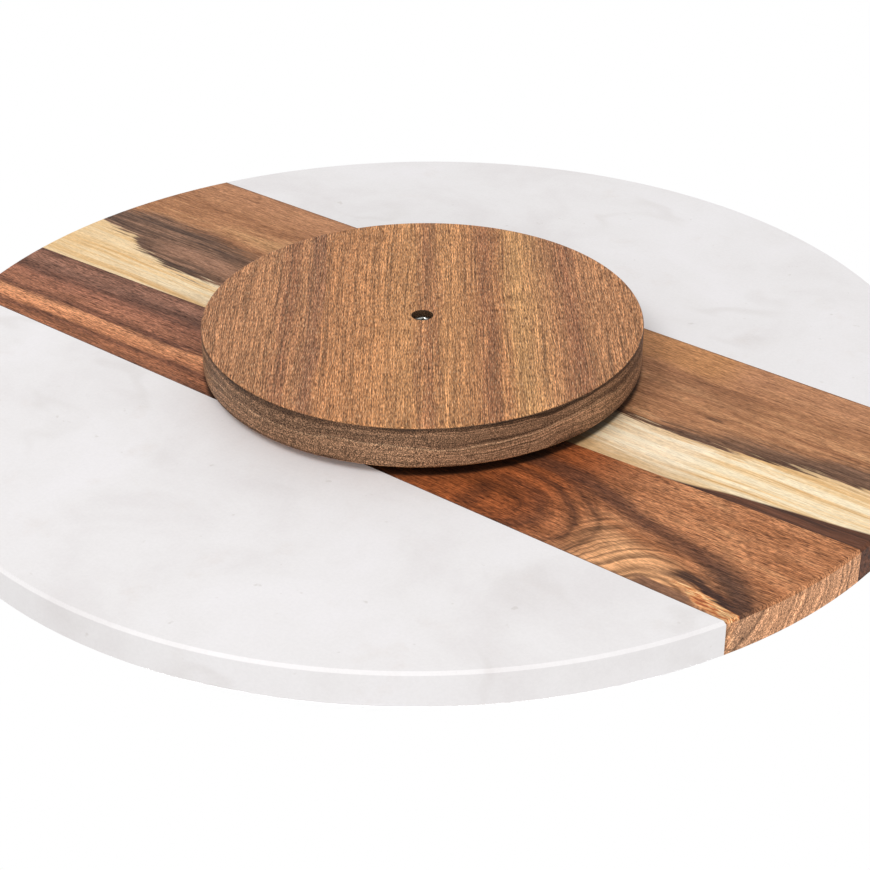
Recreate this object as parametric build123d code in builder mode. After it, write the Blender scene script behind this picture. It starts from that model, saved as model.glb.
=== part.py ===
from build123d import *
import os
from math import cos, radians, sin, tan

os.makedirs("parts", exist_ok=True)

# A round lazy susan: a marble and acacia board that turns on a wooden base disc.
# Millimetres, +Z up. The origin is the centre of the base's underside, the board turns about Z,
# and X runs along the acacia band. Front is -Y.

# Board
board_diameter = 381.0
board_thickness = 13.5
board_edge_arris = 1.0
band_width = 142.9
band_offset = -1.45
glue_line_offset = 17.0
glue_line_skew = -2.1

# Base
base_diameter = 164.0
base_thickness = 16.0
base_edge_radius = 1.0
running_gap = 2.9

# Steel pins across the marble joints, wooden dowels across the glue line
pin_diameter = 5.0
pin_length = 40.0
pin_spacing = 110.0
pin_count = 3
dowel_diameter = 6.0
dowel_length = 40.0
dowel_spacing = 80.0
dowel_count = 4
pin_chamfer = 0.5
seat_clearance = 0.05

# Thrust ball bearing
ball_diameter = 4.76
ball_count = 12
ball_circle_diameter = 100.0
ball_clearance = 0.05
race_inner_diameter = 64.0
race_outer_diameter = 116.0
race_thickness = 1.8
groove_depth = 0.5
groove_extra_radius = 0.2
cage_thickness = 1.6
cage_wall = 1.3
pocket_clearance = 0.15
recess_clearance = 0.5

# Countersunk screws that hold the race plates
race_screw_count = 4
race_screw_circle_diameter = 80.0
race_screw_first_angle = 45.0
race_screw_diameter = 3.0
race_screw_head_diameter = 5.6
race_screw_head_angle = 90.0
race_screw_length = 9.0
race_screw_point = 2.5
driver_cross_length = 3.0
driver_cross_width = 0.7
driver_cross_depth = 0.9

# Pivot at the centre
access_hole_diameter = 8.0
pivot_head_recess = 2.2
pivot_head_clearance = 0.3
pivot_head_height = 2.4
pivot_head_edge = 0.5
pivot_socket_width = 4.0
pivot_socket_depth = 1.4
pivot_socket_chamfer = 0.35
pivot_shoulder_diameter = 5.0
pivot_thread_diameter = 4.0
pivot_thread_length = 9.0
pivot_thread_chamfer = 0.5
pivot_clearance = 0.03
pivot_end_play = 0.1
washer_thickness = 0.6
washer_clearance = 0.15
bush_flange_clearance = 0.1
bush_flange_thickness = 1.0
bush_wall = 0.8
insert_diameter = 8.0
insert_end_room = 0.5

# Heights, from the table up
board_bottom = base_thickness + running_gap
board_middle = board_bottom + board_thickness / 2
race_spacing = ball_diameter + 2 * ball_clearance - 2 * groove_depth
recess_floor = board_bottom - 2 * race_thickness - race_spacing
lower_race_top = recess_floor + race_thickness
ball_height = lower_race_top + race_spacing / 2
pivot_head_top = pivot_head_recess + pivot_head_height
washer_bottom = pivot_head_top + pivot_end_play
flange_bottom = washer_bottom + washer_thickness
flange_top = flange_bottom + bush_flange_thickness
insert_length = pivot_thread_length + insert_end_room

# Radii that pieces share
ball_radius = ball_diameter / 2
ball_circle_radius = ball_circle_diameter / 2
groove_radius = ball_radius + groove_extra_radius
pocket_radius = ball_radius + pocket_clearance
cage_outer_radius = ball_circle_radius + pocket_radius + cage_wall
cage_inner_radius = ball_circle_radius - pocket_radius - cage_wall
recess_radius = max(race_outer_diameter / 2, cage_outer_radius) + recess_clearance
race_screw_radius = race_screw_diameter / 2
race_screw_head_radius = race_screw_head_diameter / 2
access_hole_radius = access_hole_diameter / 2
pivot_head_radius = access_hole_radius - pivot_head_clearance
bush_flange_radius = access_hole_radius - bush_flange_clearance
bush_bore_radius = pivot_shoulder_diameter / 2 + pivot_clearance
bush_outer_radius = bush_bore_radius + bush_wall

# The planes of the board's three joints: marble to wood at both edges of the band, wood to wood between
band_front = band_offset - band_width / 2
band_back = band_offset + band_width / 2
skew = radians(glue_line_skew)
front_joint = Plane(origin=(0, band_front, board_middle), x_dir=(1, 0, 0), z_dir=(0, -1, 0))
back_joint = Plane(origin=(0, band_back, board_middle), x_dir=(1, 0, 0), z_dir=(0, 1, 0))
glue_joint = Plane(
    origin=(0, glue_line_offset, board_middle),
    x_dir=(cos(skew), sin(skew), 0),
    z_dir=(-sin(skew), cos(skew), 0),
)
ball_plane = Plane.XY.offset(ball_height)


def cross_pins(joint, diameter, length, spacing, count):
    """A row of pins that lie half on each side of a joint's plane, with chamfered ends."""
    with BuildPart() as pins:
        with BuildSketch(joint):
            with GridLocations(spacing, spacing, count, 1):
                Circle(diameter / 2)
        extrude(amount=length / 2, both=True)
        chamfer(pins.edges().filter_by(GeomType.CIRCLE), pin_chamfer)
    return pins.part


def pin_holes(joint, diameter, length, spacing, count):
    """The drilled holes for a row of pins, larger by the clearance for the glue."""
    return cross_pins(
        joint, diameter + 2 * seat_clearance, length + 2 * seat_clearance, spacing, count
    )


# Joint hardware hidden inside the board
marble_pins = (pin_diameter, pin_length, pin_spacing, pin_count)
wood_dowels = (dowel_diameter, dowel_length, dowel_spacing, dowel_count)

with BuildPart() as front_joint_pins:
    add(cross_pins(front_joint, *marble_pins))
front_joint_pins.part.label = "front_joint_pins"

with BuildPart() as back_joint_pins:
    add(cross_pins(back_joint, *marble_pins))
back_joint_pins.part.label = "back_joint_pins"

with BuildPart() as stave_dowels:
    add(cross_pins(glue_joint, *wood_dowels))
stave_dowels.part.label = "stave_dowels"

# The two marble segments, each a round cut off at its joint with the band, with a small arris on its rim
with BuildPart() as marble_segment_front:
    with BuildSketch(Plane.XY.offset(board_bottom)):
        Circle(board_diameter / 2)
        with Locations((0, band_front)):
            Rectangle(
                board_diameter, board_diameter, align=(Align.CENTER, Align.MIN), mode=Mode.SUBTRACT
            )
    extrude(amount=board_thickness)
    chamfer(marble_segment_front.edges().filter_by(GeomType.CIRCLE), board_edge_arris)
    add(pin_holes(front_joint, *marble_pins), mode=Mode.SUBTRACT)
marble_segment_front.part.label = "marble_segment_front"

with BuildPart() as marble_segment_back:
    with BuildSketch(Plane.XY.offset(board_bottom)):
        Circle(board_diameter / 2)
        with Locations((0, band_back)):
            Rectangle(
                board_diameter, board_diameter, align=(Align.CENTER, Align.MAX), mode=Mode.SUBTRACT
            )
    extrude(amount=board_thickness)
    chamfer(marble_segment_back.edges().filter_by(GeomType.CIRCLE), board_edge_arris)
    add(pin_holes(back_joint, *marble_pins), mode=Mode.SUBTRACT)
marble_segment_back.part.label = "marble_segment_back"

# The acacia band with every hole that is drilled into it, before it parts at the glue line
with BuildPart() as acacia_band:
    with BuildSketch(Plane.XY.offset(board_bottom)):
        Circle(board_diameter / 2)
        with Locations((0, band_offset)):
            Rectangle(board_diameter, band_width, mode=Mode.INTERSECT)
    extrude(amount=board_thickness)
    chamfer(acacia_band.edges().filter_by(GeomType.CIRCLE), board_edge_arris)
    add(pin_holes(front_joint, *marble_pins), mode=Mode.SUBTRACT)
    add(pin_holes(back_joint, *marble_pins), mode=Mode.SUBTRACT)
    add(pin_holes(glue_joint, *wood_dowels), mode=Mode.SUBTRACT)
    with Locations(Plane(origin=(0, 0, board_bottom), z_dir=(0, 0, -1))):
        Hole(insert_diameter / 2 + seat_clearance, depth=insert_length + seat_clearance)
        with PolarLocations(race_screw_circle_diameter / 2, race_screw_count, race_screw_first_angle):
            Hole(race_screw_radius + seat_clearance, depth=race_screw_length - race_thickness)

with BuildPart() as acacia_stave_wide:
    add(acacia_band.part)
    split(bisect_by=glue_joint, keep=Keep.BOTTOM)
acacia_stave_wide.part.label = "acacia_stave_wide"

with BuildPart() as acacia_stave_narrow:
    add(acacia_band.part)
    split(bisect_by=glue_joint, keep=Keep.TOP)
acacia_stave_narrow.part.label = "acacia_stave_narrow"

# Base: a turned disc with a routed bearing recess on top and the pivot's stepped bore
with BuildPart() as base_disc:
    with BuildSketch():
        Circle(base_diameter / 2)
    extrude(amount=base_thickness)
    fillet(base_disc.edges().filter_by(GeomType.CIRCLE), base_edge_radius)
    with BuildSketch(Plane.XY.offset(base_thickness)):
        Circle(recess_radius)
    extrude(amount=recess_floor - base_thickness, mode=Mode.SUBTRACT)
    with Locations(Plane.XY.offset(recess_floor)):
        with PolarLocations(race_screw_circle_diameter / 2, race_screw_count, race_screw_first_angle):
            Hole(race_screw_radius + seat_clearance, depth=race_screw_length - race_thickness)
    with Locations(Plane(origin=(0, 0, 0), z_dir=(0, 0, -1))):
        CounterBoreHole(
            bush_outer_radius + seat_clearance, access_hole_radius, flange_top, recess_floor
        )
base_disc.part.label = "base_disc"

# Lower race plate: a flat ring with a rolled ball groove and countersunk screw holes
with BuildPart() as lower_race_plate:
    with BuildSketch(Plane.XZ):
        with Locations((race_inner_diameter / 2, recess_floor)):
            Rectangle(
                (race_outer_diameter - race_inner_diameter) / 2, race_thickness, align=Align.MIN
            )
        with Locations((ball_circle_radius, lower_race_top - groove_depth + groove_radius)):
            Circle(groove_radius, mode=Mode.SUBTRACT)
    revolve(axis=Axis.Z)
    with Locations(Plane.XY.offset(lower_race_top)):
        with PolarLocations(race_screw_circle_diameter / 2, race_screw_count, race_screw_first_angle):
            CounterSinkHole(
                race_screw_radius + 2 * seat_clearance,
                race_screw_head_radius + seat_clearance,
                depth=race_thickness,
                counter_sink_angle=race_screw_head_angle,
            )
lower_race_plate.part.label = "lower_race_plate"

# One countersunk screw with a cross recess, its head's flat face at z = 0 and its point down
head_cone_height = (race_screw_head_radius - race_screw_radius) / tan(radians(race_screw_head_angle / 2))
with BuildPart() as race_screw:
    with BuildSketch(Plane.XZ):
        with BuildLine():
            Polyline(
                (0, 0),
                (race_screw_head_radius, 0),
                (race_screw_radius, -head_cone_height),
                (race_screw_radius, race_screw_point - race_screw_length),
                (0, -race_screw_length),
                close=True,
            )
        make_face()
    revolve(axis=Axis.Z)
    with BuildSketch():
        Rectangle(driver_cross_length, driver_cross_width)
        Rectangle(driver_cross_width, driver_cross_length)
    extrude(amount=-driver_cross_depth, mode=Mode.SUBTRACT)

with BuildPart() as lower_race_screws:
    with Locations(Plane.XY.offset(lower_race_top)):
        with PolarLocations(race_screw_circle_diameter / 2, race_screw_count, race_screw_first_angle):
            add(race_screw.part)
lower_race_screws.part.label = "lower_race_screws"

# The upper plate and its screws mirror the lower ones about the plane of the balls
with BuildPart() as upper_race_plate:
    mirror(lower_race_plate.part, about=ball_plane)
upper_race_plate.part.label = "upper_race_plate"

with BuildPart() as upper_race_screws:
    mirror(lower_race_screws.part, about=ball_plane)
upper_race_screws.part.label = "upper_race_screws"

# Balls, and the flat cage that keeps them apart
with BuildPart() as bearing_balls:
    with Locations(ball_plane):
        with PolarLocations(ball_circle_radius, ball_count):
            Sphere(ball_radius)
bearing_balls.part.label = "bearing_balls"

with BuildPart() as ball_cage:
    with BuildSketch(Plane.XY.offset(ball_height - cage_thickness / 2)):
        Circle(cage_outer_radius)
        Circle(cage_inner_radius, mode=Mode.SUBTRACT)
        with PolarLocations(ball_circle_radius, ball_count):
            Circle(pocket_radius, mode=Mode.SUBTRACT)
    extrude(amount=cage_thickness)
ball_cage.part.label = "ball_cage"

# Pivot screw: socket head in the base's access hole, plain shoulder in the bush, thread in the board
with BuildPart() as pivot_screw:
    with BuildSketch(Plane.XY.offset(pivot_head_recess)):
        Circle(pivot_head_radius)
    extrude(amount=pivot_head_height)
    fillet(pivot_screw.edges().group_by(Axis.Z)[0], pivot_head_edge)
    with BuildSketch(Plane.XY.offset(pivot_head_recess)):
        RegularPolygon(pivot_socket_width / 2, 6, major_radius=False)
    extrude(amount=pivot_socket_depth, mode=Mode.SUBTRACT)
    with BuildSketch(Plane.XY.offset(pivot_head_recess)):
        Circle(pivot_socket_width / 2 + pivot_socket_chamfer)
    extrude(amount=pivot_socket_chamfer, taper=45, mode=Mode.SUBTRACT)
    with BuildSketch(Plane.XY.offset(pivot_head_top)):
        Circle(pivot_shoulder_diameter / 2)
    extrude(amount=board_bottom - pivot_head_top)
    with BuildSketch(Plane.XY.offset(board_bottom)):
        Circle(pivot_thread_diameter / 2)
    extrude(amount=pivot_thread_length)
    chamfer(pivot_screw.edges().group_by(Axis.Z)[-1], pivot_thread_chamfer)
pivot_screw.part.label = "pivot_screw"

with BuildPart() as threaded_insert:
    with BuildSketch(Plane.XY.offset(board_bottom)):
        Circle(insert_diameter / 2)
        Circle(pivot_thread_diameter / 2 + pivot_clearance, mode=Mode.SUBTRACT)
    extrude(amount=insert_length)
threaded_insert.part.label = "threaded_insert"

with BuildPart() as pivot_bush:
    with BuildSketch(Plane.XY.offset(flange_bottom)):
        Circle(bush_flange_radius)
    extrude(amount=bush_flange_thickness)
    with BuildSketch(Plane.XY.offset(flange_top)):
        Circle(bush_outer_radius)
    extrude(amount=recess_floor - flange_top)
    with Locations(Plane.XY.offset(recess_floor)):
        Hole(bush_bore_radius)
pivot_bush.part.label = "pivot_bush"

with BuildPart() as thrust_washer:
    with BuildSketch(Plane.XY.offset(washer_bottom)):
        Circle(pivot_head_radius)
        Circle(pivot_shoulder_diameter / 2 + washer_clearance, mode=Mode.SUBTRACT)
    extrude(amount=washer_thickness)
thrust_washer.part.label = "thrust_washer"

for piece in (
    marble_segment_front,
    marble_segment_back,
    acacia_stave_wide,
    acacia_stave_narrow,
    front_joint_pins,
    back_joint_pins,
    stave_dowels,
    threaded_insert,
    upper_race_plate,
    upper_race_screws,
    pivot_screw,
    base_disc,
    lower_race_plate,
    lower_race_screws,
    pivot_bush,
    thrust_washer,
    ball_cage,
    bearing_balls,
):
    export_step(piece.part, f"parts/{piece.part.label}.step")
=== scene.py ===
import math

import bpy
from mathutils import Matrix, Vector

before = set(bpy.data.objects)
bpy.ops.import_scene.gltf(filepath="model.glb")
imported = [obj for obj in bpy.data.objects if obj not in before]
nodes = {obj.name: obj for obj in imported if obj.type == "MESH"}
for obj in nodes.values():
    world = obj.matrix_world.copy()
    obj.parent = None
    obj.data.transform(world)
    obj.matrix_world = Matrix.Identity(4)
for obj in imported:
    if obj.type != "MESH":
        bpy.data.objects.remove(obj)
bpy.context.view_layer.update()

# Places on the part, in millimetres, as the wood textures read them
FRONT_JOINT = -72.9
BACK_JOINT = 70.0
BOARD_UNDERSIDE = 18.9
BASE_RADIUS = 82.0
HOLE_RADIUS = 4.0
EYE_CENTRE = (75, 60, 0)
KNOT_CENTRE = (150, 76, 0)
WIDE_PITH = (0, -20, -45)
NARROW_PITH = (0, 76, 14)

# Lines in the wood along the board, as (x, y)
GLUE_LINE = [(-190, 24), (0, 17), (190, 10)]
SMOKE_EDGE = [(-195, -27), (-168, -32), (-143, -30), (-110, -26), (0, -20), (79, -15), (95, -18),
              (102, -20.5), (113, -22), (122, -25.5), (128, -27), (195, -42)]
SAP_EDGE = [(-195, -12), (-166, -8), (-155, 0), (-134, 4), (-118, 4), (-104, 2), (0, -6), (80, -12),
            (97, -14), (113, -14.5), (128, -15.7), (134, -18), (195, -24)]
WEDGE_EDGE = [(98, 14.4), (111, 12.4), (125, 10.8), (137, 9.2), (149, 7.8), (195, 0)]
SWEEP_LINE = [(60, 28), (96, 31), (110, 34), (122, 38), (135, 41), (148, 43), (159, 47), (170, 54),
              (180, 64)]
SWIRL_LINE = [(140, 62), (147, 59), (153, 57), (160, 58), (165, 60.5), (178, 66)]
FLAME_LINE = [(148, 62), (158, 62), (166, 65.2), (172, 67.2), (182, 68.5)]

# How strong or how broad a mark is along the board, as (x, amount)
SMOKE_DEPTH = [(-195, 1.0), (-120, 0.95), (-80, 0.5), (60, 0.5), (100, 0.7), (195, 1.0)]
GLUE_TAN = [(-195, 0.2), (60, 0.9), (100, 0.8), (140, 0.2)]
HONEY = [(-195, 0.7), (-136, 0.25), (-116, 0.0), (195, 0.0)]
SAP_BORDER = [(20, 0.0), (80, 0.85), (150, 0.6)]
SWEEP_SPREAD = [(60, 1.0), (150, 1.0), (168, 1.8), (185, 2.0)]
FLAME_BREADTH = [(148, 0.5), (158, 1.0), (166, 2.6), (182, 2.2)]

# Dark arcs round the eye in the narrow stave, as (distance from its centre, strength)
EYE_ARCS = [(9, 0.0), (12, 0.12), (16.5, 0.66), (20, 0.08), (22, 0.1), (24.5, 0.58), (26, 0.1),
            (27.5, 0.1), (29.5, 0.5), (31, 0.06), (34, 0.0)]

# The base, in degrees from X: its grain, the stretch of its side with open fibre ends, and stretches
# of the side darkened with painted shade as (angle, strength)
BASE_GRAIN = 50.5
SIDE_ENDS = 78.0
SHADED_STRETCHES = [(80, 0.24), (-20, 0.42)]

# Colours over a noise from 0 to 1, in 8-bit sRGB
HEARTWOOD = [(0.30, (134, 88, 58)), (0.43, (164, 112, 76)), (0.55, (184, 130, 90)),
             (0.70, (206, 154, 110))]
SMOKE = [(0.34, (62, 44, 36)), (0.5, (104, 77, 61)), (0.66, (152, 114, 90))]
SAPWOOD = [(0.32, (216, 166, 104)), (0.44, (247, 213, 163)), (0.56, (255, 236, 200))]
WEDGE = [(0.36, (62, 38, 28)), (0.62, (112, 70, 50))]
CURLY_GRAIN = [(0.30, (146, 90, 56)), (0.43, (174, 113, 73)), (0.55, (192, 129, 87)),
               (0.70, (208, 148, 102))]
FLAME = [(0.38, (168, 92, 56)), (0.5, (222, 148, 92)), (0.62, (248, 198, 142))]
MARBLE = [(0.32, (231, 227, 227)), (0.50, (237, 234, 234)), (0.68, (240, 237, 238))]
BEECH = [(0.3, (198, 158, 112)), (0.7, (224, 188, 142))]
NYLON = [(0.3, (222, 219, 208)), (0.7, (236, 233, 224))]

# Colours over a distance in millimetres: across the narrow stave from the glue line, across the base's
# grain from its middle, and up the base's side from its foot, dark at the foot's edge and with painted
# shade at its top next to the board
STRAIGHT_GRAIN = [(0, (112, 74, 58)), (4, (160, 112, 90)), (9, (132, 92, 74)), (14, (108, 70, 54)),
                  (18, (156, 102, 78)), (25, (164, 108, 80)), (30, (108, 66, 48)),
                  (33, (218, 150, 106)), (38, (204, 136, 94)), (42, (118, 72, 50)),
                  (46, (172, 110, 76)), (54, (96, 58, 42))]
BASE_STREAKS = [(-82, (176, 122, 82)), (-62, (180, 126, 86)), (-56, (152, 100, 70)),
                (-50, (178, 124, 84)), (-36, (202, 150, 98)), (-29, (178, 122, 80)),
                (-24, (152, 100, 68)), (-19, (184, 128, 84)), (-8, (194, 138, 90)),
                (-2, (166, 112, 76)), (4, (194, 138, 90)), (20, (190, 132, 86)),
                (36, (180, 124, 82)), (40, (150, 102, 74)), (45, (180, 126, 86)),
                (50, (150, 100, 70)), (56, (182, 128, 88)), (82, (172, 120, 84))]
BASE_LAYERS_AND_SHADE = [(0.0, (72, 52, 37)), (1.4, (102, 75, 55)), (2.4, (142, 108, 82)), (5.0, (128, 97, 73)),
               (7.2, (132, 99, 75)), (7.8, (176, 140, 108)), (8.4, (150, 114, 86)),
               (12.0, (158, 120, 91)), (14.6, (142, 106, 79)), (16.0, (96, 69, 50))]

# Fine texture of finished wood
SPECKLE = (2.2, 0.27, 0.45)
FIBRE_SWING = 0.34
SPECKLE_SWING = 0.44
PORE_DEPTH = 0.75

# Camera and stage, in metres
CAMERA_AT = Vector((0.411476, 0.492248, -0.332812))
CAMERA_FORWARD = Vector((-0.54553, -0.66171, 0.51433)).normalized()
CAMERA_UP = Vector((-0.32075, -0.40213, -0.85756)).normalized()
CAMERA_RIGHT = CAMERA_FORWARD.cross(CAMERA_UP).normalized()
SENSOR_MM = 36.0
LENS_MM = 80.38
CLIP = (0.01, 50.0)
LAMP_TARGET = Vector((0.0, 0.0, 0.016))
LAMP_DISTANCE = 2.4
LAMP_SIZE = 1.1
WORLD_LEVEL = 0.65
WHITE = (1.0, 1.0, 1.0, 1.0)
FLOOR_GREY = (0.9, 0.9, 0.9, 1.0)
FLOOR_HALF = 3.0
FLOOR_DROP = 0.0002
FLOOR_FADE_MM = (350.0, 900.0)


def linear(rgb):
    """An 8-bit sRGB colour as a linear one with alpha."""
    def channel(c):
        c /= 255
        return c / 12.92 if c <= 0.04045 else ((c + 0.055) / 1.055) ** 2.4
    return tuple(channel(c) for c in rgb) + (1.0,)


class Paint:
    """A procedural material. Its coordinates are the part's own, in millimetres."""

    def __init__(self, name, roughness=0.5, metallic=0.0):
        self.material = bpy.data.materials.new(name)
        self.material.use_nodes = True
        self.tree = self.material.node_tree
        self.shader = self.tree.nodes["Principled BSDF"]
        self.shader.inputs["Roughness"].default_value = roughness
        self.shader.inputs["Metallic"].default_value = metallic
        source = self.node("ShaderNodeTexCoord")
        self.normal = source.outputs["Normal"]
        self.mm = self.vector("SCALE", source.outputs["Object"], scale=1000)

    def node(self, kind, **settings):
        made = self.tree.nodes.new(kind)
        for key, value in settings.items():
            setattr(made, key, value)
        return made

    def put(self, socket, value):
        if isinstance(value, bpy.types.NodeSocket):
            self.tree.links.new(value, socket)
        else:
            socket.default_value = value

    def set(self, name, value):
        self.put(self.shader.inputs[name], value)

    def vector(self, operation, a, b=None, scale=None):
        made = self.node("ShaderNodeVectorMath", operation=operation)
        self.put(made.inputs[0], a)
        if b is not None:
            self.put(made.inputs[1], b)
        if scale is not None:
            made.inputs["Scale"].default_value = scale
        return made.outputs["Value" if operation in ("DOT_PRODUCT", "LENGTH") else "Vector"]

    def math(self, operation, a, b=0.0):
        made = self.node("ShaderNodeMath", operation=operation)
        self.put(made.inputs[0], a)
        self.put(made.inputs[1], b)
        return made.outputs[0]

    def plus(self, a, b):
        return self.math("ADD", a, b)

    def less(self, a, b):
        return self.math("SUBTRACT", a, b)

    def times(self, product, *factors):
        for factor in factors:
            product = self.math("MULTIPLY", product, factor)
        return product

    def swing(self, noise, amount):
        """The noise as a shift to either side of nought."""
        return self.times(self.less(noise, 0.5), amount)

    def split(self, vector):
        made = self.node("ShaderNodeSeparateXYZ")
        self.put(made.inputs[0], vector)
        return made.outputs[0], made.outputs[1], made.outputs[2]

    def join(self, x, y, z):
        made = self.node("ShaderNodeCombineXYZ")
        for socket, value in zip(made.inputs, (x, y, z)):
            self.put(socket, value)
        return made.outputs[0]

    def turned(self, vector, degrees):
        made = self.node("ShaderNodeVectorRotate", rotation_type="Z_AXIS")
        self.put(made.inputs["Vector"], vector)
        made.inputs["Angle"].default_value = math.radians(degrees)
        return made.outputs[0]

    def noise(self, vector, size, detail=2.0, rough=0.5, distortion=0.0):
        """Noise from 0 to 1 whose blobs measure about size, in millimetres."""
        made = self.node("ShaderNodeTexNoise")
        self.put(made.inputs["Vector"], self.vector("MULTIPLY", vector, [1 / s for s in size]))
        made.inputs["Scale"].default_value = 1.0
        made.inputs["Detail"].default_value = detail
        made.inputs["Roughness"].default_value = rough
        made.inputs["Distortion"].default_value = distortion
        return made.outputs["Fac"]

    def span(self, value, lo, hi, out_lo=0.0, out_hi=1.0, smooth=True):
        made = self.node("ShaderNodeMapRange")
        made.interpolation_type = "SMOOTHSTEP" if smooth else "LINEAR"
        for socket, number in zip(made.inputs, (value, lo, hi, out_lo, out_hi)):
            self.put(socket, number)
        return made.outputs[0]

    def ramp(self, value, stops):
        """Colour stops over the value, both ends held."""
        lo, hi = stops[0][0], stops[-1][0]
        made = self.node("ShaderNodeValToRGB")
        elements = made.color_ramp.elements
        while len(elements) < len(stops):
            elements.new(0.5)
        for element, (at, rgb) in zip(elements, stops):
            element.position = (at - lo) / (hi - lo)
            element.color = linear(rgb)
        self.put(made.inputs[0], self.span(value, lo, hi, smooth=False))
        return made.outputs["Color"]

    def profile(self, value, points):
        """A height over the value, straight between the points."""
        x_lo, x_hi = points[0][0], points[-1][0]
        heights = [y for x, y in points]
        y_lo, y_hi = min(heights), max(heights)
        made = self.node("ShaderNodeValToRGB")
        elements = made.color_ramp.elements
        while len(elements) < len(points):
            elements.new(0.5)
        for element, (x, y) in zip(elements, points):
            element.position = (x - x_lo) / (x_hi - x_lo)
            grey = (y - y_lo) / (y_hi - y_lo)
            element.color = (grey, grey, grey, 1.0)
        self.put(made.inputs[0], self.span(value, x_lo, x_hi, smooth=False))
        return self.span(made.outputs["Color"], 0.0, 1.0, y_lo, y_hi, smooth=False)

    def mix(self, factor, a, b, blend="MIX"):
        made = self.node("ShaderNodeMix", data_type="RGBA", blend_type=blend)
        for index, value in ((0, factor), (6, a), (7, b)):
            if isinstance(value, tuple) and len(value) == 3:
                value = linear(value)
            self.put(made.inputs[index], value)
        return made.outputs[2]

    def tint(self, colour, value, lo, hi, spread=0.14):
        """The colour times a grey that goes from lo to hi as the noise swings about its middle."""
        grey = self.span(value, 0.5 - spread, 0.5 + spread, lo, hi, smooth=False)
        return self.mix(1.0, colour, self.join(grey, grey, grey), "MULTIPLY")

    def band(self, distance, half, soft):
        """One within half of the line, fading to nought over soft."""
        return self.span(self.math("ABSOLUTE", distance), half, half + soft, 1.0, 0.0)

    def near(self, value, middle, half, soft):
        """One while the value is within half of the middle, fading to nought over soft."""
        return self.band(self.less(value, middle), half, soft)

    def bump(self, height, strength, distance):
        made = self.node("ShaderNodeBump")
        made.inputs["Strength"].default_value = strength
        made.inputs["Distance"].default_value = distance
        self.put(made.inputs["Height"], height)
        self.set("Normal", made.outputs[0])


def wood_fibre(paint, grain, along, across, mottled=0.0):
    """Fine fibre, pore dashes and mottled streaks in coordinates whose X runs along the grain."""
    fibre = paint.noise(grain, (along, across, across * 1.4), 2.0, 0.6)
    pores = paint.noise(grain, (along * 0.6, across * 0.9, across), 1.0)
    streak = paint.noise(grain, (150, across * 6, across * 9), 4.0, 0.66)
    mottle = paint.noise(grain, (24, 7, 7), 3.0, 0.6)
    streak = paint.times(paint.plus(streak, paint.times(mottle, mottled)), 1 / (1 + mottled))
    return fibre, pores, streak


def finish_wood(paint, colour, grain, fibre, pores, contrast=1.0, calm=0.0):
    """Fibre, speckle and pores darken the colour, dull the polish and dent the surface. Where it is
    calm, the plain colour shows through."""
    speckle = paint.noise(grain, SPECKLE, 1.0)
    worked = paint.tint(colour, fibre, 1 - FIBRE_SWING * contrast, 1 + FIBRE_SWING * contrast)
    worked = paint.tint(worked, speckle, 1 - SPECKLE_SWING * contrast, 1 + SPECKLE_SWING * contrast)
    open_pore = paint.span(pores, 0.55, 0.70, 0.0, PORE_DEPTH * contrast)
    worked = paint.mix(open_pore, worked, (138, 118, 108), "MULTIPLY")
    paint.set("Base Color", paint.mix(calm, worked, colour))
    paint.set("Roughness", paint.span(fibre, 0.3, 0.7, 0.66, 0.5))
    paint.bump(paint.less(fibre, open_pore), 0.3, 0.0002)
    paint.shader.inputs["Specular IOR Level"].default_value = 0.15


def seam(paint, colour, joint):
    """A thin dark line of glue along the joint with the marble."""
    line = paint.near(paint.split(paint.mm)[1], joint, 0.15, 0.9)
    return paint.mix(paint.times(line, 0.55), colour, (92, 66, 50))


def painted_shade_under_base(paint, colour):
    """Painted shade darkens the underside of the board where the base disc overhangs it."""
    x, y, z = paint.split(paint.mm)
    radius = paint.vector("LENGTH", paint.join(x, y, 0.0))
    inside = paint.span(radius, BASE_RADIUS - 1.0, BASE_RADIUS + 1.0, 0.88, 0.0)
    low = paint.span(z, BOARD_UNDERSIDE + 1.0, BOARD_UNDERSIDE + 2.0, 1.0, 0.0)
    return paint.mix(paint.times(inside, low), colour, (24, 15, 10))


def end_grain_mask(paint, degrees):
    """How squarely the surface cuts across a grain that runs at this angle to X."""
    facing = paint.vector("DOT_PRODUCT", paint.turned(paint.normal, -degrees), (1.0, 0.0, 0.0))
    return paint.span(paint.math("ABSOLUTE", facing), 0.6, 0.95)


def end_grain(paint, colour, pith, contrast):
    """Growth rings round the pith, and open pores, where the fibres are cut across."""
    from_pith = paint.vector("MULTIPLY", paint.vector("SUBTRACT", paint.mm, pith), (0.0, 1.0, 1.0))
    wander = paint.noise(paint.mm, (14, 10, 10), 2.0)
    ring = paint.plus(paint.vector("LENGTH", from_pith), paint.times(wander, 7.0))
    rings = paint.noise(paint.join(ring, 0.0, 0.0), (2.2, 1.0, 1.0), 3.0, 0.6)
    tubes = paint.noise(paint.mm, (4.0, 0.5, 0.5), 1.0)
    return paint.tint(paint.tint(colour, rings, 1 - contrast, 1 + contrast), tubes, 0.72, 1.2)


def from_axis(paint):
    """Distance from the axis that the board turns about."""
    return paint.vector("LENGTH", paint.vector("MULTIPLY", paint.mm, (1.0, 1.0, 0.0)))


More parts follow.
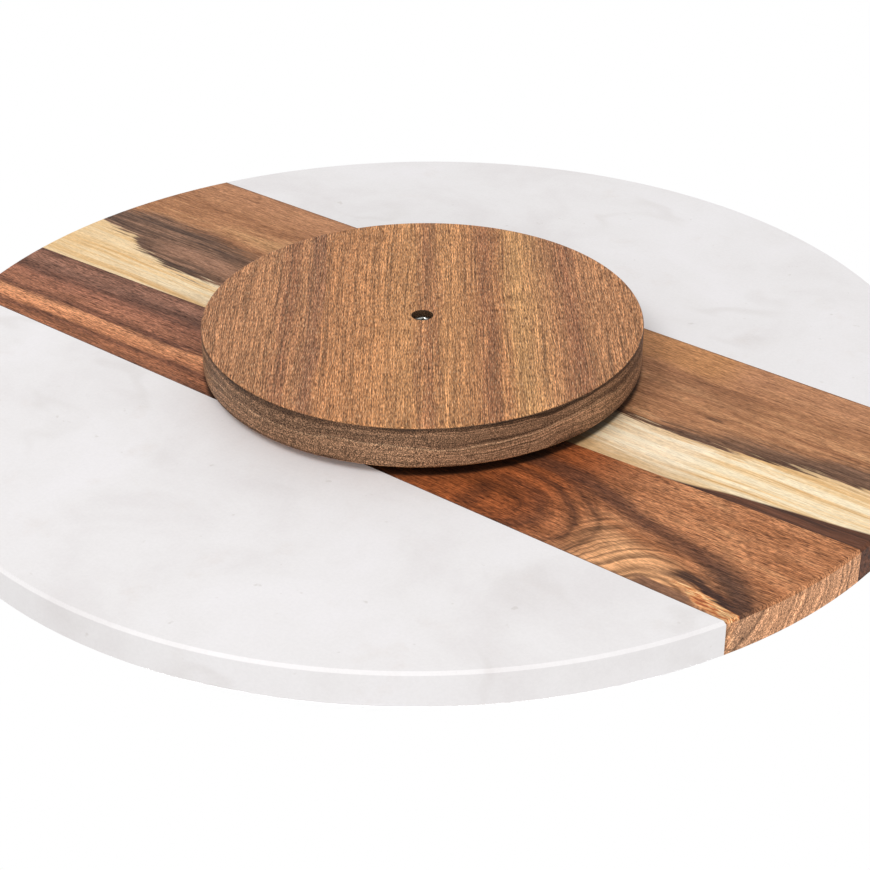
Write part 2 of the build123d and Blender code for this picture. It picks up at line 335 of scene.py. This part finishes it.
def marble():
    """Honed white stone: pale clouds, warm patches, a few faint veins, grey flecks and fine crystals."""
    paint = Paint("honed_marble", 0.38)
    cloud = paint.noise(paint.mm, (48, 48, 48), 5.0, 0.6, 0.4)
    colour = paint.ramp(cloud, MARBLE)
    warm = paint.noise(paint.mm, (20, 20, 20), 4.0, 0.65)
    colour = paint.mix(paint.span(warm, 0.56, 0.76, 0.0, 0.4), colour, (229, 222, 219))
    ridge = paint.noise(paint.mm, (95, 60, 60), 3.0, 0.5)
    vein = paint.near(ridge, 0.5, 0.003, 0.03)
    patch = paint.noise(paint.vector("ADD", paint.mm, (300, 90, 40)), (45, 45, 45), 1.0)
    vein = paint.times(vein, paint.span(patch, 0.5, 0.7, 0.0, 0.22))
    colour = paint.mix(vein, colour, (206, 199, 195))
    fleck = paint.noise(paint.vector("ADD", paint.mm, (70, 10, 150)), (4.5, 4.5, 4.5), 2.0)
    colour = paint.mix(paint.span(fleck, 0.72, 0.80, 0.0, 0.5), colour, (208, 202, 198))
    crystal = paint.noise(paint.mm, (1.1, 1.1, 1.1), 2.0, 0.6)
    colour = paint.tint(colour, crystal, 0.985, 1.012)
    paint.set("Base Color", colour)
    paint.set("Roughness", paint.span(cloud, 0.3, 0.7, 0.46, 0.36))
    paint.bump(crystal, 0.05, 0.0001)
    paint.shader.inputs["Specular IOR Level"].default_value = 0.25
    return paint.material


def stave_grain(paint, wandering, slope):
    """Coordinates of a stave that follow its wandering grain, which leans through the thickness."""
    x, y, z = paint.split(paint.mm)
    shift = paint.swing(paint.noise(paint.mm, (85, 28, 28), 2.0), wandering)
    lean = paint.times(paint.less(z, BOARD_UNDERSIDE), slope)
    bent = paint.plus(paint.plus(y, shift), lean)
    return x, bent, paint.join(x, bent, z)


def heartwood(paint, x, y, edge, streak):
    """Brown streaks, paler towards the front joint, with a golden stripe beside the smoke."""
    colour = paint.ramp(streak, HEARTWOOD)
    colour = paint.mix(paint.span(y, -48, -66, 0.0, 0.55), colour, (198, 142, 104))
    sunny = paint.times(paint.span(y, -50, -58, 0.0, 0.7), paint.near(x, 72, 16, 18))
    colour = paint.mix(sunny, colour, (198, 140, 88))
    dusk = paint.times(paint.near(edge, -45, 3, 6), 0.4, paint.near(x, 98, 14, 14))
    colour = paint.mix(dusk, colour, (132, 88, 60))
    golden = paint.times(paint.near(edge, -36, 1, 5), paint.span(x, -150, -120, 0.0, 0.75),
                         paint.span(x, 40, -60))
    return paint.mix(golden, colour, (206, 156, 108))


def smoked(paint, colour, x, edge, wisps):
    """Dark smoky heart beside the sapwood, with a ruddy streak in it at one end."""
    into_smoke = paint.span(paint.less(edge, paint.profile(x, SMOKE_EDGE)), -3, 6)
    ruddy = paint.times(paint.near(edge, -9, 2, 6), paint.span(x, -165, -135, 0.0, 0.8),
                        paint.span(x, -40, -95))
    smoke = paint.mix(ruddy, paint.ramp(wisps, SMOKE), (170, 126, 100))
    return paint.mix(paint.times(into_smoke, paint.profile(x, SMOKE_DEPTH)), colour, smoke)


def sapwood(paint, x, edge, sap_depth, grain):
    """Cream sapwood: tan beside the glue, honey at one end, golden where it meets the heart."""
    sap = paint.ramp(paint.noise(grain, (150, 3.0, 6), 4.0, 0.6), SAPWOOD)
    sap = paint.mix(paint.times(paint.near(x, 104, 8, 18), 0.45), sap, (255, 238, 212))
    near_glue = paint.span(paint.less(edge, paint.profile(x, GLUE_LINE)), -12, -3)
    sap = paint.mix(paint.times(near_glue, paint.profile(x, GLUE_TAN)), sap, (206, 166, 116))
    sap = paint.mix(paint.profile(x, HONEY), sap, (232, 192, 136))
    golden_edge = paint.times(paint.near(sap_depth, 2.0, 1.0, 3.0), paint.span(x, 76, 112, 0.2, 0.7))
    return paint.mix(golden_edge, sap, (226, 178, 118))


def heart_marks(paint, colour, x, y, edge, sap_depth, wisps):
    """A dark line along the sapwood, a dark wedge by the glue line and one small fleck."""
    line = paint.times(paint.near(sap_depth, -1.5, 0.3, 1.6), paint.profile(x, SAP_BORDER))
    colour = paint.mix(line, colour, (88, 60, 44))
    wedge = paint.span(paint.less(y, paint.profile(x, WEDGE_EDGE)), -0.4, 0.8)
    wedge = paint.times(wedge, paint.span(x, 96, 106))
    colour = paint.mix(wedge, colour, paint.ramp(wisps, WEDGE))
    fleck = paint.times(paint.near(x, 110, 1.5, 4.0), paint.near(edge, -30, 0.4, 1.4), 0.7)
    return paint.mix(fleck, colour, (76, 52, 40))


def wide_stave():
    paint = Paint("acacia_heart_and_sap", 0.5)
    x, y, grain = stave_grain(paint, 7.0, 0.4)
    fibre, pores, streak = wood_fibre(paint, grain, 8, 0.6, 0.8)
    wisps = paint.noise(grain, (45, 1.6, 3.0), 3.0, 0.65)
    feather = paint.noise(grain, (26, 1.5, 2.4), 3.0, 0.65)
    edge = paint.plus(y, paint.swing(feather, 17.0))
    sap_depth = paint.less(edge, paint.profile(x, SAP_EDGE))
    in_sap = paint.span(sap_depth, -1.5, 2.0)

    colour = heartwood(paint, x, y, edge, streak)
    colour = smoked(paint, colour, x, edge, wisps)
    colour = paint.mix(in_sap, colour, sapwood(paint, x, edge, sap_depth, grain))
    colour = heart_marks(paint, colour, x, y, edge, sap_depth, wisps)
    colour = paint.mix(end_grain_mask(paint, 0), colour, end_grain(paint, colour, WIDE_PITH, 0.3))
    # Painted shade on the underside, under the base's edge
    colour = painted_shade_under_base(paint, seam(paint, colour, FRONT_JOINT))
    finish_wood(paint, colour, grain, fibre, pores, 0.62, paint.times(in_sap, 0.6))
    return paint.material


def curly_ground(paint, x, off_sweep, streak):
    """Streaks that are red near the base, with a tan field beyond the dark sweep."""
    curly = paint.ramp(streak, CURLY_GRAIN)
    red = paint.tint((138, 69, 31), streak, 0.6, 1.42)
    curly = paint.mix(paint.span(x, 124, 86, 0.0, 0.85), curly, red)
    tan = paint.times(paint.span(off_sweep, 7, 17), paint.span(x, 106, 132, 0.0, 0.9),
                      paint.span(x, 162, 147, 0.3, 1.0))
    return paint.mix(tan, curly, (227, 168, 119))


def rings_round(paint, centre, squeeze, drift):
    """Distance from a knot's centre across the board, with a slow drift."""
    off = paint.vector("MULTIPLY", paint.vector("SUBTRACT", paint.mm, centre), squeeze)
    return paint.plus(paint.vector("LENGTH", off), paint.times(drift, 5.0))


def eye_figure(paint, curly, x, y, off_sweep, drift):
    """Fine rings and dark arcs round the eye, and a smudge at its heart."""
    eye = rings_round(paint, EYE_CENTRE, (0.62, 1.0, 0.0), drift)
    rings = paint.noise(paint.join(eye, paint.times(y, 0.03), 0.0), (1.6, 1.0, 1.0), 3.0, 0.6)
    curled = paint.times(paint.span(off_sweep, 0, 8), paint.near(x, 92, 16, 10))
    curly = paint.mix(curled, curly, paint.tint(curly, rings, 0.66, 1.3))
    arcs = paint.times(paint.profile(eye, EYE_ARCS), paint.span(x, 66, 78))
    smudge = paint.times(paint.near(x, 73, 1.0, 5.0), paint.span(y, 48, 56, 0.0, 0.45))
    return paint.mix(paint.math("MAXIMUM", arcs, smudge), curly, (70, 40, 28))


def knot_figure(paint, curly, x, rippled, drift):
    """Clear ripples round the knot at the edge of the stave."""
    ring = rings_round(paint, KNOT_CENTRE, (1.0, 1.0, 0.0), drift)
    rings = paint.noise(paint.join(ring, paint.times(x, 0.02), 0.0), (1.6, 1.0, 1.0), 2.0)
    return paint.mix(rippled, curly, paint.tint(curly, rings, 0.48, 1.36))


def burnt_marks(paint, curly, x, edge, off_sweep):
    """The dark sweep that fans out towards the end, the black swirl and an ashy patch."""
    sweep = paint.band(paint.math("DIVIDE", off_sweep, paint.profile(x, SWEEP_SPREAD)), 0.5, 7)
    sweep = paint.times(sweep, paint.span(x, 190, 180, 0.0, 0.87))
    burnt = paint.mix(paint.span(x, 148, 168), (92, 55, 38), (60, 40, 34))
    curly = paint.mix(sweep, curly, burnt)
    swirl = paint.band(paint.less(edge, paint.profile(x, SWIRL_LINE)), 0.9, 2.6)
    swirl = paint.times(swirl, paint.span(x, 143, 154, 0.0, 0.92))
    curly = paint.mix(swirl, curly, (48, 29, 26))
    ashy = paint.times(paint.span(edge, 63, 66), paint.near(x, 153, 8, 7))
    return paint.mix(ashy, curly, (138, 98, 74))


def flame_figure(paint, curly, x, edge, grain):
    """A bright flickering flame along the joint, beside the swirl."""
    off_flame = paint.less(edge, paint.profile(x, FLAME_LINE))
    flame = paint.band(paint.math("DIVIDE", off_flame, paint.profile(x, FLAME_BREADTH)), 0.6, 0.9)
    flame = paint.times(flame, paint.span(x, 149, 156))
    flicker = paint.noise(grain, (5, 0.9, 2), 2.0, 0.6)
    return paint.mix(flame, curly, paint.ramp(flicker, FLAME))


def narrow_stave():
    paint = Paint("acacia_curly_red", 0.5)
    x, y, grain = stave_grain(paint, 6.0, -0.3)
    fibre, pores, streak = wood_fibre(paint, grain, 7, 0.55, 1.5)
    feather = paint.noise(grain, (26, 1.6, 2.6), 3.0, 0.65)
    edge = paint.plus(y, paint.swing(feather, 9.0))
    across = paint.less(edge, paint.profile(x, GLUE_LINE))
    off_sweep = paint.less(edge, paint.profile(x, SWEEP_LINE))
    drift = paint.noise(paint.mm, (16, 10, 10), 2.0)
    rippled = paint.times(paint.span(off_sweep, 3, 11), paint.span(x, 104, 116))

    straight = paint.tint(paint.ramp(across, STRAIGHT_GRAIN), streak, 0.8, 1.2)
    curly = curly_ground(paint, x, off_sweep, streak)
    curly = eye_figure(paint, curly, x, y, off_sweep, drift)
    curly = knot_figure(paint, curly, x, rippled, drift)
    curly = burnt_marks(paint, curly, x, edge, off_sweep)
    curly = flame_figure(paint, curly, x, edge, grain)
    colour = paint.mix(paint.span(x, -40, 60), straight, curly)
    ends = end_grain(paint, paint.mix(0.6, colour, (238, 182, 140)), NARROW_PITH, 0.6)
    colour = paint.mix(end_grain_mask(paint, 0), colour, ends)
    # Painted shade on the underside, under the base's edge
    colour = painted_shade_under_base(paint, seam(paint, colour, BACK_JOINT))
    finish_wood(paint, colour, grain, fibre, pores, 1.0, paint.times(rippled, 0.45))
    return paint.material


def base_side_mask(paint):
    return paint.span(paint.math("ABSOLUTE", paint.split(paint.normal)[2]), 0.75, 0.35)


def base_side(paint, turned, height):
    """Growth layers that run round the disc's edge, with dots where the fibre ends are open."""
    level = paint.plus(height, paint.swing(paint.noise(paint.mm, (38, 38, 12), 3.0), 9.0))
    x, y, _ = paint.split(paint.mm)
    layers = paint.noise(paint.join(x, y, level), (60, 60, 0.7), 3.0, 0.65)
    # Layers up the side, with painted shade along its top next to the board
    plain = paint.ramp(level, BASE_LAYERS_AND_SHADE)
    lined = paint.tint(plain, layers, 0.35, 1.6)
    tubes = paint.noise(turned, (0.8, 0.45, 0.45), 1.0)
    dotted = paint.tint(paint.mix(0.5, plain, lined), tubes, 0.3, 1.75)
    colour = paint.mix(paint.times(end_grain_mask(paint, SIDE_ENDS), 0.85), lined, dotted)
    stain = paint.noise(paint.mm, (9, 9, 1.5), 2.0, 0.6)
    colour = paint.mix(paint.span(stain, 0.60, 0.74, 0.0, 0.6), colour, (70, 50, 38))
    # Painted shade darkens the side where it faces these directions
    for degrees, strength in SHADED_STRETCHES:
        towards = (math.cos(math.radians(degrees)), math.sin(math.radians(degrees)), 0.0)
        facing = paint.vector("DOT_PRODUCT", paint.normal, towards)
        colour = paint.mix(paint.span(facing, 0.9, 0.99, 0.0, strength), colour, (70, 48, 35))
    crack = paint.near(paint.noise(paint.mm, (8, 8, 90), 2.0), 0.5, 0.0, 0.012)
    return paint.mix(paint.times(crack, 0.35), colour, (64, 46, 34))


def base_grain(paint, turned):
    """Coordinates of the base that follow its own wandering, leaning grain."""
    along, across, height = paint.split(turned)
    shift = paint.swing(paint.noise(turned, (110, 26, 26), 2.0), 5.0)
    bent = paint.plus(paint.plus(across, shift), paint.times(height, 0.4))
    return bent, height, paint.join(along, bent, height)


def base_wood():
    paint = Paint("base_wood", 0.5)
    turned = paint.turned(paint.mm, -BASE_GRAIN)
    bent, height, grain = base_grain(paint, turned)
    fibre, pores, streak = wood_fibre(paint, grain, 9, 0.36)
    feather = paint.noise(grain, (40, 1.2, 3.0), 3.0, 0.65)
    edge = paint.plus(bent, paint.swing(feather, 16.0))
    colour = paint.tint(paint.ramp(edge, BASE_STREAKS), streak, 0.78, 1.30)
    lines = paint.noise(grain, (60, 0.7, 2.0), 3.0, 0.65)
    colour = paint.tint(colour, lines, 0.58, 1.30)
    pale = paint.noise(grain, (3.0, 0.3, 0.5), 1.0)
    colour = paint.mix(paint.span(pale, 0.52, 0.72, 0.0, 0.45), colour, (222, 182, 142))
    colour = paint.mix(base_side_mask(paint), colour, base_side(paint, turned, height))
    # Painted shade darkens the wall of the centre hole
    hole_shade = paint.span(from_axis(paint), HOLE_RADIUS + 0.05, HOLE_RADIUS + 0.35, 0.85, 0.0)
    colour = paint.mix(hole_shade, colour, (70, 50, 32))
    finish_wood(paint, colour, grain, fibre, pores, 1.15)
    return paint.material


def turned_metal(name, rgb, roughness, ring):
    """Metal with fine lathe lines round the part's axis."""
    paint = Paint(name, roughness, 1.0)
    height = paint.split(paint.mm)[2]
    lines = paint.noise(paint.join(from_axis(paint), height, 0.0), (ring, ring * 2, 1.0), 2.0, 0.6)
    smudge = paint.noise(paint.mm, (9, 9, 9), 3.0, 0.6)
    dark = tuple(int(c * 0.86) for c in rgb)
    paint.set("Base Color", paint.mix(smudge, rgb, dark))
    paint.set("Roughness", paint.span(lines, 0.3, 0.7, roughness * 0.75, roughness * 1.3))
    paint.bump(lines, 0.08, 0.00005)
    return paint.material


def dowel_wood():
    paint = Paint("beech_dowel", 0.6)
    turned = paint.turned(paint.mm, 90)
    fibre, pores, streak = wood_fibre(paint, turned, 7, 0.5)
    finish_wood(paint, paint.ramp(streak, BEECH), turned, fibre, pores, 0.7)
    return paint.material


def nylon():
    paint = Paint("nylon", 0.42)
    cloud = paint.noise(paint.mm, (6, 6, 6), 3.0, 0.6)
    paint.set("Base Color", paint.ramp(cloud, NYLON))
    paint.set("Roughness", paint.span(cloud, 0.3, 0.7, 0.5, 0.38))
    paint.shader.inputs["Subsurface Weight"].default_value = 0.1
    paint.shader.inputs["Subsurface Radius"].default_value = (0.002, 0.002, 0.0015)
    return paint.material


def dress():
    """Give each CAD node its material."""
    stone = marble()
    plastic = nylon()
    race = turned_metal("race_steel", (176, 178, 180), 0.3, 0.25)
    screw = turned_metal("zinc_screw_steel", (196, 196, 190), 0.36, 0.3)
    pin = turned_metal("pin_steel", (182, 183, 184), 0.4, 0.4)
    looks = {
        "marble_segment_front": stone, "marble_segment_back": stone,
        "acacia_stave_wide": wide_stave(), "acacia_stave_narrow": narrow_stave(),
        "base_disc": base_wood(), "stave_dowels": dowel_wood(),
        "front_joint_pins": pin, "back_joint_pins": pin,
        "threaded_insert": turned_metal("insert_brass", (212, 178, 104), 0.3, 0.3),
        "upper_race_plate": race, "lower_race_plate": race,
        "upper_race_screws": screw, "lower_race_screws": screw,
        "pivot_screw": turned_metal("pivot_steel", (188, 190, 186), 0.28, 0.3),
        "pivot_bush": turned_metal("bush_bronze", (186, 138, 84), 0.34, 0.3),
        "bearing_balls": turned_metal("ball_steel", (206, 208, 210), 0.12, 0.5),
        "ball_cage": plastic, "thrust_washer": plastic,
    }
    for name, material in looks.items():
        mesh = nodes[name].data
        mesh.materials.clear()
        mesh.materials.append(material)


def add_camera():
    """The camera looks up at the part from below and is rolled over."""
    data = bpy.data.cameras.new("camera")
    data.sensor_width = SENSOR_MM
    data.lens = LENS_MM
    data.clip_start, data.clip_end = CLIP
    camera = bpy.data.objects.new("camera", data)
    bpy.context.scene.collection.objects.link(camera)
    axes = Matrix((CAMERA_RIGHT, CAMERA_UP, -CAMERA_FORWARD)).transposed()
    camera.matrix_world = Matrix.Translation(CAMERA_AT) @ axes.to_4x4()
    bpy.context.scene.camera = camera


def add_lamp(name, direction, power):
    """A round soft lamp that stands off in this direction and faces the part."""
    data = bpy.data.lights.new(name, "AREA")
    data.shape = "DISK"
    data.size = LAMP_SIZE
    data.energy = power
    lamp = bpy.data.objects.new(name, data)
    bpy.context.scene.collection.objects.link(lamp)
    out = Vector(direction).normalized()
    lamp.location = LAMP_TARGET + out * LAMP_DISTANCE
    lamp.rotation_mode = "QUATERNION"
    lamp.rotation_quaternion = (-out).to_track_quat("-Z", "Y")
    lamp.visible_camera = False


def add_world():
    """Even white light. Seen directly or in a reflection it is plain white."""
    world = bpy.data.worlds.new("studio")
    bpy.context.scene.world = world
    world.use_nodes = True
    tree = world.node_tree
    tree.nodes.clear()
    path = tree.nodes.new("ShaderNodeLightPath")
    seen = path.outputs["Is Camera Ray"]
    for ray in ("Is Glossy Ray", "Is Transmission Ray"):
        either = tree.nodes.new("ShaderNodeMath")
        either.operation = "MAXIMUM"
        tree.links.new(seen, either.inputs[0])
        tree.links.new(path.outputs[ray], either.inputs[1])
        seen = either.outputs[0]
    choose = tree.nodes.new("ShaderNodeMixShader")
    tree.links.new(seen, choose.inputs[0])
    for socket, strength in ((choose.inputs[1], WORLD_LEVEL), (choose.inputs[2], 1.0)):
        light = tree.nodes.new("ShaderNodeBackground")
        light.inputs["Color"].default_value = WHITE
        light.inputs["Strength"].default_value = strength
        tree.links.new(light.outputs[0], socket)
    output = tree.nodes.new("ShaderNodeOutputWorld")
    tree.links.new(choose.outputs[0], output.inputs[0])


def floor_material():
    """Pale and matt, but clear to whatever looks up through it, and far off it fades into the white
    surround."""
    paint = Paint("floor", 0.9)
    paint.set("Base Color", FLOOR_GREY)
    paint.set("Specular IOR Level", 0.0)
    path = paint.node("ShaderNodeLightPath")
    geometry = paint.node("ShaderNodeNewGeometry")
    from_below = paint.math("GREATER_THAN", path.outputs["Transparent Depth"], 0.5)
    from_below = paint.math("MAXIMUM", geometry.outputs["Backfacing"], from_below)
    far = paint.span(paint.vector("LENGTH", paint.mm), FLOOR_FADE_MM[0], FLOOR_FADE_MM[1])
    clear = paint.node("ShaderNodeBsdfTransparent")
    choose = paint.node("ShaderNodeMixShader")
    paint.put(choose.inputs[0], paint.math("MAXIMUM", from_below, far))
    paint.put(choose.inputs[1], paint.shader.outputs[0])
    paint.put(choose.inputs[2], clear.outputs[0])
    paint.put(paint.tree.nodes["Material Output"].inputs["Surface"], choose.outputs[0])
    return paint.material


def add_floor():
    mesh = bpy.data.meshes.new("floor")
    square = [(-1, -1), (1, -1), (1, 1), (-1, 1)]
    corners = [(x * FLOOR_HALF, y * FLOOR_HALF, -FLOOR_DROP) for x, y in square]
    mesh.from_pydata(corners, [], [(0, 1, 2, 3)])
    floor = bpy.data.objects.new("floor", mesh)
    bpy.context.scene.collection.objects.link(floor)
    mesh.materials.append(floor_material())


def add_stage():
    add_world()
    ahead = Vector((CAMERA_FORWARD.x, CAMERA_FORWARD.y, 0.0)).normalized()
    down = Vector((0.0, 0.0, -1.0))
    add_lamp("key_below", down - 0.55 * CAMERA_RIGHT - 0.35 * ahead, 19.0)
    add_lamp("fill_below", 0.3 * down + 0.35 * CAMERA_RIGHT - ahead, 16.0)
    add_lamp("key_above", (-0.5, -0.6, 0.9), 28.0)
    add_floor()
    bpy.context.scene.view_settings.view_transform = "Standard"


dress()
add_camera()
add_stage()
